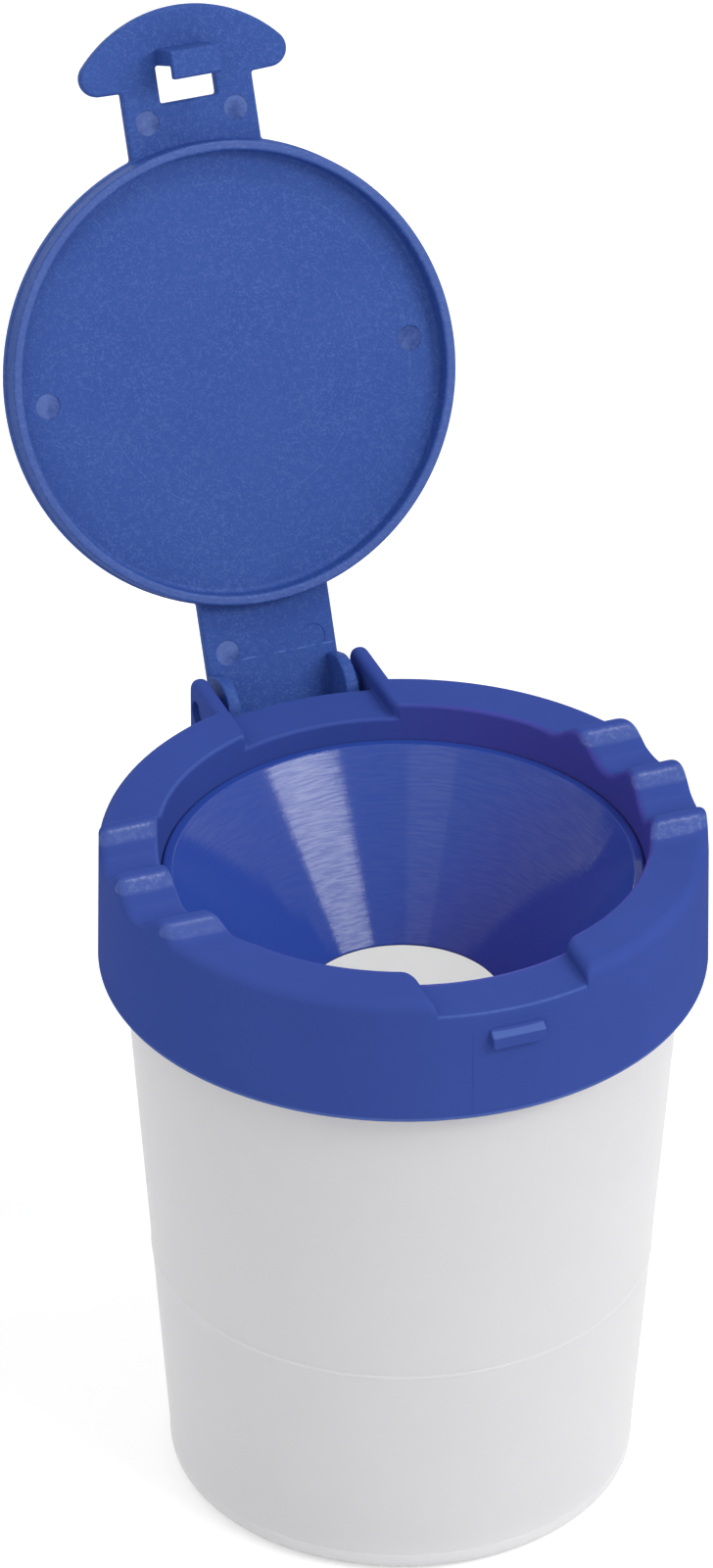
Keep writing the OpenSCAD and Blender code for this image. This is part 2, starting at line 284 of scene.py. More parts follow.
def shade(piece: bpy.types.Object, angle: float = FLAT_ANGLE) -> None:
    """Smooths the shading between faces under an angle, and keeps flat faces flat.

    Args:
        piece: the object.
        angle: edges sharper than this stay sharp, in radians.
    """
    piece.data.shade_smooth()
    piece.data.set_sharp_from_angle(angle=angle)
    weights = piece.modifiers.new("flat faces", "WEIGHTED_NORMAL")
    weights.keep_sharp = True
    weights.weight = 80
    bake(piece)


# Lighter copies of the cup's natural tone for its inside faces and inner floor: painted light, standing in
# for the light that comes through the wall.
INSIDE_PAINTED_LIGHT_TONES: tuple[Tone, Tone] = ((0.95, 0.945, 0.96), (0.96, 0.955, 0.97))


@dataclass
class Cup:
    """The translucent tapered cup."""

    base_r: float = 32.4
    lip_r: float = 39.6
    height: float = 97.0
    wall: float = 1.3
    floor: float = 1.9
    foot_r: float = 2.6
    inner_r: float = 3.0
    line_z: float = 35.2
    line_proud: float = 0.13
    line_w: float = 0.6
    band_z: float = 3.1
    band_proud: float = 0.09
    steps: int = 192

    def radius(self, z: float) -> float:
        """Outer radius of the wall at a height."""
        return self.base_r + (self.lip_r - self.base_r) * z / self.height

    def section(self) -> list[Point]:
        """The wall's section, from the axis out along the base, up, and back down inside."""
        proud = self.line_proud
        low, high = self.line_z - self.line_w / 2, self.line_z + self.line_w / 2
        outer = rounded([
            (0, 0, 0),
            (self.base_r + self.band_proud, 0, self.foot_r),
            (self.radius(self.band_z) + self.band_proud, self.band_z, 0.05),
            (self.radius(self.band_z + 0.1), self.band_z + 0.1, 0.05),
            (self.radius(low - 0.5), low - 0.5, 0),
            (self.radius(low), low, 0.2),
            (self.radius(low) + proud, low + 0.15, 0.12),
            (self.radius(high) + proud, high - 0.15, 0.12),
            (self.radius(high), high, 0.2),
            (self.lip_r, self.height, 0.3),
            (self.lip_r - self.wall, self.height, 0.3),
            (self.radius(self.floor) - self.wall, self.floor, self.inner_r),
            (0, self.floor, 0),
        ], steps=6)
        return outer

    def build(self) -> bpy.types.Object:
        """Makes the cup."""
        draft = Draft()
        draft.revolve(self.section(), self.steps)
        cup = draft.finish("cup_wall")
        shade(cup)
        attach(cup, "cup")
        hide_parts("cup")
        # The inside faces and the inner floor take the lighter tones above: painted light.
        inside = CupFinish("natural inside painted light", *INSIDE_PAINTED_LIGHT_TONES, scatter_mm=20.0)
        floor = CupFinish("natural base painted light", *INSIDE_PAINTED_LIGHT_TONES, scatter=0.0)
        for finish in (CupFinish(), inside, floor):
            cup.data.materials.append(finish.material())
        for face in cup.data.polygons:
            x, y, z = (c / MM for c in face.center)
            if math.hypot(x, y) < self.radius(z) - self.wall / 2:
                face.material_index = 2 if z < self.floor + 0.05 else 1
        return cup


@dataclass(frozen=True)
class Station:
    """One radial line of the collar: where it runs, and how high and how round its top is."""

    turn: Callable[[float], float]
    top: float
    outer_edge: float
    inner_edge: float
    proud: float = 0.0


@dataclass
class Collar:
    """The push-on collar: skirt, rim, slots, brush rests, ears and nub in one moulding."""

    foot_z: float = 82.3
    foot_r: float = 42.0
    top_r: float = 41.7
    bore_r: float = 39.9
    seat_z: float = 97.0
    rim_z: float = 101.3
    recess_r: float = 33.25
    recess_top_r: float = 33.6
    flange_z: float = 96.0
    ledge_z: float = 94.5
    ledge_foot: float = 93.1
    ledge_r: float = 31.7
    core_r: float = 35.05
    core_out_r: float = 36.18
    core_z: float = 97.4
    plug_z: float = 90.0
    plug_r: float = 37.48
    plug_top_r: float = 38.0
    rim_edge: float = 1.8
    slot_w: float = 10.8
    slot_z: float = 99.0
    slot_edge: float = 0.6
    slot_plan: float = 1.7
    crest_z: float = 103.3
    crest_edge: float = 1.3
    groove_edge: float = 0.9
    rest_inner: float = 1.2
    crest_r: float = 2.2
    groove_z: float = 99.9
    pitch: float = 12.5
    middle_y: float = 1.2
    flank: float = 40.0
    insert_w: float = 6.15
    insert_low: float = 83.2
    insert_high: float = 96.8
    insert_proud: float = 0.06
    hinge_y: float = 46.2
    hinge_z: float = 96.7

    def outer(self, z: float) -> float:
        """Outer radius of the skirt at a height."""
        return self.foot_r + (self.top_r - self.foot_r) * (z - self.foot_z) / (self.rim_z - self.foot_z)

    def inner(self, z: float) -> float:
        """Radius of the recess wall at a height."""
        up = (z - self.flange_z) / (self.rim_z - self.flange_z)
        return self.recess_r + (self.recess_top_r - self.recess_r) * up

    def flare(self, radius: float) -> float:
        """How much wider a slot is at a radius, where its wall rounds into the recess."""
        depth = radius - self.recess_r
        if depth >= self.slot_plan:
            return 0.0
        reach = max(self.slot_plan - max(depth, 0.0), 0.0)
        return self.slot_plan - math.sqrt(max(self.slot_plan ** 2 - reach ** 2, 0.0))

    def slot_line(self, x: float, back: bool) -> Callable[[float], float]:
        """The angle of a slot's lengthwise line at each radius.

        Args:
            x: the line's distance from the middle of the slot.
            back: whether it is the hinge slot.
        """
        room = 2.2 * self.slot_plan
        inside = abs(x) <= self.slot_w
        share = abs(x) / self.slot_w if inside else max(0.0, 1 - (abs(x) - self.slot_w) / room)

        def turn(radius: float) -> float:
            reach = math.copysign(abs(x) + share * self.flare(radius), x)
            side = math.asin(reach / radius)
            return math.pi / 2 - side if back else -math.pi / 2 + side
        return turn

    def rest_line(self, y: float, left: bool) -> Callable[[float], float]:
        """The angle of a line across a brush rest at each radius."""
        def turn(radius: float) -> float:
            side = math.asin(y / radius)
            return math.pi - side if left else side
        return turn

    def slot_stations(self, back: bool) -> list[Station]:
        """The slot's stations, anticlockwise seen from above."""
        corner = 0.9 if back else 1.5
        reach = self.slot_w + 2.2 * self.slot_plan
        half = rounded([
            (0.0, self.slot_z, 0), (self.slot_w, self.slot_z, 0.45),
            (self.slot_w + 0.08, self.rim_z, corner), (reach, self.rim_z, 0)], steps=7, closed=False)
        half = [half[0], (2.2, self.slot_z), (4.4, self.slot_z), (self.insert_w - 0.06, self.slot_z),
                (self.insert_w, self.slot_z), (8.3, self.slot_z), *half[1:-1],
                (reach - 1.2, self.rim_z), half[-1]]
        both = [(-x, z) for x, z in reversed(half[1:])] + half
        if back:
            both = [(-x, z) for x, z in both]
        stations = []
        for x, z in both:
            up = (z - self.slot_z) / (self.rim_z - self.slot_z)
            proud = self.insert_proud if not back and abs(x) <= self.insert_w - 0.06 else 0.0
            edge = self.slot_edge + (self.rim_edge - self.slot_edge) * up
            stations.append(Station(self.slot_line(x, back), z, edge, 0.35 + 0.2 * up, proud))
        return stations

    def wave(self, y: float) -> float:
        """Height of the rim across the brush rests at a distance towards the hinge."""
        lean = math.radians(self.flank)
        first = self.middle_y - self.pitch
        last = self.middle_y + self.pitch
        depth = self.crest_z - self.groove_z
        radii = ((self.pitch / 2) * math.tan(lean) - depth) / (
            math.sin(lean) * math.tan(lean) - (1 - math.cos(lean)))
        groove_r = radii - self.crest_r
        near = min((first, self.middle_y, last), key=lambda c: abs(c - y))
        off = abs(y - near)
        turn_off = self.crest_r * math.sin(lean)
        if off <= turn_off:
            return self.crest_z - self.crest_r + math.sqrt(self.crest_r ** 2 - off ** 2)
        shoulder = self.crest_z - self.crest_r * (1 - math.cos(lean))
        slope = shoulder - (off - turn_off) * math.tan(lean)
        if first < y < last:
            from_groove = self.pitch / 2 - off
            if from_groove <= groove_r * math.sin(lean):
                return self.groove_z + groove_r - math.sqrt(groove_r ** 2 - from_groove ** 2)
            return slope
        foot = 2.4
        if slope > self.rim_z + foot * (1 / math.cos(lean) - 1):
            blend_at = self.rim_z + foot * (1 - math.cos(lean))
            if slope >= blend_at:
                return slope
        run = turn_off + (shoulder - self.rim_z) / math.tan(lean)
        tail = run + foot * math.tan(lean / 2)
        if off >= tail:
            return self.rim_z
        gap = tail - off
        if gap >= foot * math.sin(lean):
            return slope
        return self.rim_z + foot - math.sqrt(max(foot ** 2 - gap ** 2, 0.0))

    def rest_stations(self, left: bool) -> list[Station]:
        """The brush rest's stations, anticlockwise seen from above."""
        low, high = self.middle_y - self.pitch - 6.8, self.middle_y + self.pitch + 6.8
        count = 104
        rows = [low + (high - low) * i / count for i in range(count + 1)]
        if left:
            rows.reverse()
        stations = []
        for y in rows:
            z = self.wave(y)
            if z >= self.rim_z:
                up = (z - self.rim_z) / (self.crest_z - self.rim_z)
                edge = self.rim_edge + (self.crest_edge - self.rim_edge) * up
            else:
                down = (self.rim_z - z) / (self.rim_z - self.groove_z)
                edge = self.rim_edge + (self.groove_edge - self.rim_edge) * down
            at_ends = min(1.0, (min(y - low, high - y) + 0.01) / 4.0)
            inner = 0.55 + (self.rest_inner - 0.55) * at_ends
            stations.append(Station(self.rest_line(y, left), z, edge, inner))
        return stations

    def stations(self) -> list[Station]:
        """All the collar's stations, once round from the latch slot."""
        groups = [self.slot_stations(False), self.rest_stations(False),
                  self.slot_stations(True), self.rest_stations(True)]
        out: list[Station] = []
        between = 16
        for i, group in enumerate(groups):
            out += group
            a, b = group[-1], groups[(i + 1) % 4][0]
            for k in range(1, between + 1):
                share = k / (between + 1)

                def turn(radius: float, a: Station = a, b: Station = b, share: float = share) -> float:
                    from_a = a.turn(radius)
                    gap = (b.turn(radius) - from_a) % (2 * math.pi)
                    return from_a + gap * share
                out.append(Station(turn, self.rim_z, self.rim_edge,
                                   a.inner_edge + (b.inner_edge - a.inner_edge) * share))
        return out

    def section(self, at: Station) -> list[Point]:
        """The collar's section at a station, as closed (radius, height) points.

        Args:
            at: the station.
        """
        top = at.top
        outer_top, inner_top = self.outer(top), self.inner(top)
        start = rounded([
            (self.bore_r, self.seat_z, 0.3), (self.bore_r, self.foot_z, 0.35),
            (self.foot_r, self.foot_z, 0.45), (self.outer(self.insert_low), self.insert_low, 0)],
            steps=4, closed=False)
        wall = [(self.outer(self.insert_low + 0.06) + at.proud, self.insert_low + 0.06)]
        for k in range(1, 6):
            z = self.insert_low + (self.insert_high - self.insert_low) * k / 6
            wall.append((self.outer(z) + at.proud, z))
        wall += [(self.outer(self.insert_high) + at.proud, self.insert_high),
                 (self.outer(self.insert_high), self.insert_high + 0.06)]
        crown = rounded([
            (self.outer(self.insert_high + 0.1), self.insert_high + 0.1, 0),
            (outer_top, top, at.outer_edge), (inner_top, top, at.inner_edge),
            (self.recess_r, self.flange_z, 0)], steps=7, closed=False)
        crown = crown[1:-1]
        middle = len(crown) // 2
        a, b = crown[middle - 1], crown[middle]
        top_line = [(a[0] + (b[0] - a[0]) * s, top) for s in (0.2, 0.4, 0.6, 0.75, 0.87, 0.95)]
        crown = [*crown[:middle], *top_line, *crown[middle:]]
        rest = rounded([
            (self.recess_r, self.flange_z, 0),
            (self.recess_r, self.ledge_z, 0.3), (self.ledge_r, self.ledge_z, 0.3),
            (self.ledge_r, self.ledge_foot, 0.3), (self.core_r, self.ledge_foot, 0.5),
            (self.core_r, self.core_z, 0.35), (self.core_out_r, self.core_z, 0.35),
            (self.core_out_r, self.plug_z, 0.3), (self.plug_r, self.plug_z, 0.6),
            (self.plug_top_r, self.seat_z, 0.15), (self.bore_r - 0.5, self.seat_z, 0)],
            steps=4, closed=False)
        return [*start[1:], *wall, *crown, *rest, start[0]]

    def ring(self) -> bpy.types.Object:
        """Makes the ring, station by station."""
        draft = Draft()
        loops = []
        for at in self.stations():
            points = []
            for radius, z in self.section(at):
                turn = at.turn(radius)
                points.append(Vector((radius * math.cos(turn), radius * math.sin(turn), z)))
            loops.append(draft.loop(points))
        for i, loop in enumerate(loops):
            draft.bridge(loop, loops[(i + 1) % len(loops)])
        return draft.finish("collar_ring")

    def ear(self, side: int) -> bpy.types.Object:
        """Makes one ear with its pin hole, cut clear of the cup's lip.

        Args:
            side: 1 for the right ear, -1 for the left.
        """
        back, drop, thick, web = 3.3, 4.6, 2.3, 4.5
        start, top = 36.5, self.rim_z - 0.02
        outline = rounded([
            (start, top, 0), (start, self.hinge_z - drop - web, 0),
            (self.top_r, self.hinge_z - drop - web, 0.4), (self.hinge_y + back, self.hinge_z - drop, 1.2),
            (self.hinge_y + back, top, 2.3)], steps=8)
        hole = arc(self.hinge_y, self.hinge_z, 1.85, 0, -360, 48)[:-1]
        draft = Draft()
        low, high = self.slot_w + 0.04, self.slot_w + thick
        ends = (low, high) if side > 0 else (-high, -low)
        prism(draft, [outline], *ends, (1.0, 1.0), side_lay, steps=6)
        ear = draft.finish(f"ear_{side}")
        drill = Draft()
        drill.revolve([(0, self.foot_z - 5), (self.bore_r + 1.0, self.foot_z - 5),
                       (self.bore_r + 1.0, self.core_z + 0.2), (0, self.core_z + 0.2)], 256)
        bore = Draft()
        prism(bore, [[*reversed(hole)]], -20, 20, (0, 0), side_lay, steps=1)
        return fuse(ear, [drill.finish("skirt_space"), bore.finish("pin_hole")], "DIFFERENCE")

    def nub(self) -> bpy.types.Object:
        """Makes the catch under the latch slot."""
        wall, face = self.top_r - 0.9, self.outer(95.9) + 1.3
        outline = rounded([
            (-wall, 93.7, 0), (-wall, 96.22, 0), (-self.outer(96.2), 96.22, 0), (-face, 95.55, 0.25),
            (-face, 93.7, 0.2)], steps=4)
        draft = Draft()
        prism(draft, [outline], -3.8, 3.8, (0.2, 0.2), side_lay)
        return draft.finish("nub")

    def build(self) -> bpy.types.Object:
        """Makes the collar."""
        collar = self.ring()
        fuse(collar, [self.ear(1), self.ear(-1), self.nub()])
        collar.name = "collar_body"
        shade(collar)
        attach(collar, "collar")
        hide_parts("collar")
        collar.data.materials.append(CollarFinish().material())
        return collar


@dataclass
class Funnel:
    """The funnel insert."""

    flange_r: float = 33.15
    flange_z: float = 96.0
    flange_foot: float = 94.5
    mouth_r: float = 31.7
    under_r: float = 31.5
    hole_r: float = 14.0
    depth: float = 21.7
    edge: float = 0.3
    thick: float = 1.5
    steps: int = 192

    def section(self) -> list[Point]:
        """The funnel's section."""
        foot = self.flange_z - self.depth
        spread = (self.mouth_r - self.hole_r) / self.depth
        side = self.thick * math.hypot(1, spread)
        low = foot - self.edge
        return rounded([
            (self.hole_r, low, 0.1), (self.hole_r + side - spread * self.edge, low, 0.3),
            (self.under_r, foot + (self.under_r - self.hole_r - side) / spread, 0.4),
            (self.under_r, self.flange_foot, 0.2), (self.flange_r, self.flange_foot, 0.3),
            (self.flange_r, self.flange_z, 0.45), (self.mouth_r, self.flange_z, 0.35),
            (self.hole_r, foot, 0.25)], steps=5)

    def build(self) -> bpy.types.Object:
        """Makes the funnel."""
        draft = Draft()
        draft.revolve(self.section(), self.steps)
        funnel = draft.finish("funnel_cone")
        shade(funnel)
        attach(funnel, "funnel")
        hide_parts("funnel")
        funnel.data.materials.append(FunnelFinish().material())
        return funnel


@dataclass
class Lid:
    """The lid, drawn closed about the hinge axis: v towards the latch, w up."""

    hinge_y: float = 46.2
    hinge_z: float = 96.7
    open_deg: float = 114.0
    disc_r: float = 32.9
    inner_w: float = 2.6
    thick: float = 1.6
    strap_w: float = 9.7
    strap_back: float = 3.0
    bead_out: float = 32.65
    bead_in: float = 31.2
    bead_h: float = 2.9
    lobe_x: float = 12.7
    lobe_v: float = 89.9
    lobe_r: float = 2.6
    tip_v: float = 98.1
    window_w: float = 4.15
    window_low: float = 84.9
    window_high: float = 90.2
    hook_left: float = 4.0
    hook_right: float = 3.2
    hook_t: float = 2.35
    lip_v: float = 88.6
    lip_top: float = -3.35
    lip_t: float = 1.3
    lug_r: float = 4.5
    lug_t: float = 1.8
    heel: float = 5.0
    heel_flat: float = 1.5
    pin_r: float = 1.8
    pin_end: float = 12.3
    mark_r: float = 1.75
    mark_depth: float = 0.12

    def place(self) -> Matrix:
        """Where the lid's own frame stands: on the hinge axis, turned open."""
        return (Matrix.Translation((0, self.hinge_y * MM, self.hinge_z * MM))
                @ Matrix.Rotation(-math.radians(self.open_deg), 4, "X"))

    def outline(self) -> list[Point]:
        """The plate's outline in (x, y), anticlockwise seen from above, with y = -v."""
        centre = -self.hinge_y
        meet = math.degrees(math.acos(self.strap_w / self.disc_r))
        tip = -self.tip_v
        lobe = -self.lobe_v
        rise = lobe - tip
        grip_r = (self.lobe_x ** 2 + rise ** 2 - self.lobe_r ** 2) / (2 * (rise - self.lobe_r))
        arc_y = tip + grip_r
        lean = math.degrees(math.atan2(arc_y - lobe, self.lobe_x))
        right: list[Corner] = []
        right += [(*p, 0.0) for p in arc(0, arc_y, grip_r, -90, -lean, 18)]
        right += [(*p, 0.0) for p in arc(self.lobe_x, lobe, self.lobe_r, -lean, 90, 14)[1:]]
        right += [(self.strap_w, lobe + self.lobe_r + 0.1, 0.35)]
        side = arc(0, centre, self.disc_r, -meet, meet, 64)
        right += [(*side[0], 0.5), *[(*p, 0.0) for p in side[1:-1]], (*side[-1], 0.5)]
        right += [(self.strap_w, self.strap_back, 0.6)]
        left = [(-x, y, r) for x, y, r in reversed(right[1:])]
        return rounded([*right, *left], steps=4)

    def marks(self) -> list[Point]:
        """Centres of the ejector marks, in (x, y); the last one gets no painted sheen."""
        return [(-6.6, -82.6), (6.6, -82.6), (-27.0, -46.2), (27.0, -46.2), (-6.4, -7.2), (6.4, -7.2)]

    def plate(self) -> bpy.types.Object:
        """Makes the plate: disc, strap and grip, with its window and ejector marks."""
        window = rounded([
            (-self.window_w, -self.window_high, 0.3), (-self.window_w, -self.window_low, 0.4),
            (self.window_w, -self.window_low, 0.4), (self.window_w, -self.window_high, 0.3)], steps=4)
        draft = Draft()
        prism(draft, [self.outline(), window], self.inner_w, self.inner_w + self.thick,
              (0.45, 0.35), flat_lay, steps=4)
        return draft.finish("lid_plate")

    def mark_cutters(self) -> bpy.types.Object:
        """Makes the shallow discs that cut the ejector marks."""
        draft = Draft()
        low, high = self.inner_w - 0.5, self.inner_w + self.mark_depth
        for centre in self.marks():
            draft.revolve([(0, low), (self.mark_r + 0.05, low), (self.mark_r + 0.05, self.inner_w),
                           (self.mark_r - 0.05, high), (0, high)], 40, centre)
        return draft.finish("mark_cutters")

    def bead(self) -> bpy.types.Object:
        """Makes the sealing bead with its inner fillet."""
        crown = self.inner_w - self.bead_h
        inside = self.inner_w + self.thick / 2
        section = rounded([
            (self.bead_in, crown, 0.45), (self.bead_out - 0.05, crown, 0.35),
            (self.bead_out + 0.1, inside, 0), (self.bead_in - 1.6, inside, 0),
            (self.bead_in - 0.9, self.inner_w - 0.005, 0),
            (self.bead_in - 0.12, self.inner_w - 0.005, 0.7)], steps=6)
        draft = Draft()
        draft.revolve(section, 192, (0.0, -self.hinge_y))
        return draft.finish("bead")

    def hook(self) -> bpy.types.Object:
        """Makes the latch hook behind the window."""
        stem = self.window_high
        foot = self.lip_top - self.lip_t
        inside = self.inner_w + self.thick / 2
        corners = [
            (-(stem + self.hook_t), inside, 0), (-(stem + self.hook_t), foot, 0.35),
            (-(self.lip_v + 0.3), foot, 0.15), (-self.lip_v, foot + 0.3, 0.15),
            (-self.lip_v, self.lip_top, 0.15), (-stem - 0.2, self.lip_top, 0.2), (-stem, inside, 0)]
        draft = Draft()
        prism(draft, [rounded(corners, steps=3)], -self.hook_left, self.hook_right, (0.25, 0.25), side_lay)
        return draft.finish("hook")

    def lug(self, side: int) -> bpy.types.Object:
        """Makes one lug.

        Args:
            side: 1 for the right lug, -1 for the left.
        """
        inside = self.inner_w + self.thick / 2
        low, high = self.strap_w - self.lug_t, self.strap_w - 0.02
        ends = (low, high) if side > 0 else (-high, -low)
        start = 270 - math.degrees(math.asin(self.strap_back / self.lug_r))
        boss = [(-v, w) for v, w in arc(0, 0, self.lug_r, start, 360, 36)]
        outline = [(self.strap_back, inside), (-self.lug_r, inside), *reversed(boss)]
        draft = Draft()
        prism(draft, [outline], *ends, (0.3, 0.3), side_lay)
        lug = draft.finish(f"lug_{side}")
        turn = math.radians(self.open_deg)
        wall, down = Vector((-math.cos(turn), -math.sin(turn))), Vector((math.sin(turn), -math.cos(turn)))
        heel = [Vector((0, 0)), wall * self.lug_r * 0.8 - down * self.lug_r * 0.6, wall * self.heel,
                wall * self.heel + down * self.heel_flat, down * self.heel_flat]
        draft = Draft()
        prism(draft, [[tuple(p) for p in heel]], *ends, (0.05, 0.05), side_lay, steps=1)
        return fuse(lug, [draft.finish("heel")])

    def pin(self, side: int) -> bpy.types.Object:
        """Makes one stub pin.

        Args:
            side: 1 for the right pin, -1 for the left.
        """
        circle = arc(0, 0, self.pin_r, 0, 360, 40)[:-1]
        low, high = self.strap_w - 1.0, self.pin_end
        ends = (low, high) if side > 0 else (-high, -low)
        edges = (0.0, 0.3) if side > 0 else (0.3, 0.0)
        draft = Draft()
        prism(draft, [circle], *ends, edges, side_lay)
        return draft.finish(f"pin_{side}")

    def pick_marks(self, lid: bpy.types.Object) -> None:
        """Gives the floors of the ejector marks the second material slot."""
        for face in lid.data.polygons:
            corners = [lid.data.vertices[n].co / MM for n in face.vertices]
            face.material_index = int(any(
                all(math.hypot(c.x - mx, c.y - my) < self.mark_r + 0.1 and abs(c.z - self.inner_w) < 0.3
                    for c in corners) for mx, my in self.marks()[:-1]))

    def build(self) -> bpy.types.Object:
        """Makes the lid."""
        lid = self.plate()
        fuse(lid, [self.bead(), self.hook(), self.lug(1), self.lug(-1), self.pin(1), self.pin(-1)])
        fuse(lid, [self.mark_cutters()], "DIFFERENCE")
        lid.name = "lid_moulding"
        self.pick_marks(lid)
        lid.data.transform(self.place())
        shade(lid)
        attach(lid, "lid")
        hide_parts("lid")
        lid.data.materials.append(LidFinish(self.hinge_y, self.hinge_z, self.open_deg).material())
        lid.data.materials.append(PinFinish().material())
        return lid


class Wiring:
    """Short calls for wiring a node tree."""

    def __init__(self, tree: bpy.types.NodeTree) -> None:
        """Takes the tree to wire."""
        self.tree = tree

    def add(self, kind: str, **values: object) -> bpy.types.Node:
        """Adds a node and sets its properties.

        Args:
            kind: the node's type.
            values: the properties to set.

        Returns:
            The new node.
        """
        node = self.tree.nodes.new(kind)
        for key, value in values.items():
            setattr(node, key, value)
        return node

    def feed(self, source: object, target: bpy.types.NodeSocket) -> None:
        """Links a socket to another, or writes a plain value into it."""
        if isinstance(source, bpy.types.NodeSocket):
            self.tree.links.new(source, target)
        else:
            target.default_value = source

    def math(self, operation: str, a: object, b: object = 0.0, third: object = 0.0,
             clamp: bool = False) -> bpy.types.NodeSocket:
        """Adds a Math node on two or three values or sockets and returns its result."""
        node = self.add("ShaderNodeMath", operation=operation, use_clamp=clamp)
        for source, target in zip((a, b, third), node.inputs):
            self.feed(source, target)
        return node.outputs[0]

    def ramp(self, value: object, low: object, high: object, out_low: float = 0.0,
             out_high: float = 1.0) -> bpy.types.NodeSocket:
        """Adds a smooth step between two values and returns its result."""
        node = self.add("ShaderNodeMapRange", interpolation_type="SMOOTHSTEP")
        for source, name in ((value, "Value"), (low, "From Min"), (high, "From Max"),
                             (out_low, "To Min"), (out_high, "To Max")):
            self.feed(source, node.inputs[name])
        return node.outputs["Result"]

    def noise(self, where: object, scale: object, detail: float = 2.0,
              roughness: float = 0.5) -> bpy.types.NodeSocket:
        """Adds a Noise Texture and returns its value."""
        node = self.add("ShaderNodeTexNoise")
        self.feed(where, node.inputs["Vector"])
        self.feed(scale, node.inputs["Scale"])
        node.inputs["Detail"].default_value = detail
        node.inputs["Roughness"].default_value = roughness
        return node.outputs["Fac"]

    def blend(self, share: object, a: object, b: object, kind: str = "MIX") -> bpy.types.NodeSocket:
        """Adds a colour mix and returns its result."""
        node = self.add("ShaderNodeMix", data_type="RGBA", blend_type=kind)
        self.feed(share, node.inputs[0])
        self.feed(a, node.inputs[6])
        self.feed(b, node.inputs[7])
        return node.outputs[2]


class Effect(Enum):
    """The shared surface effects, by the names of their node groups."""

    GRAIN = "moulded grain"
    TURNED = "turned marks"
    DRIFT = "tone drift"
    LINE = "witness line"


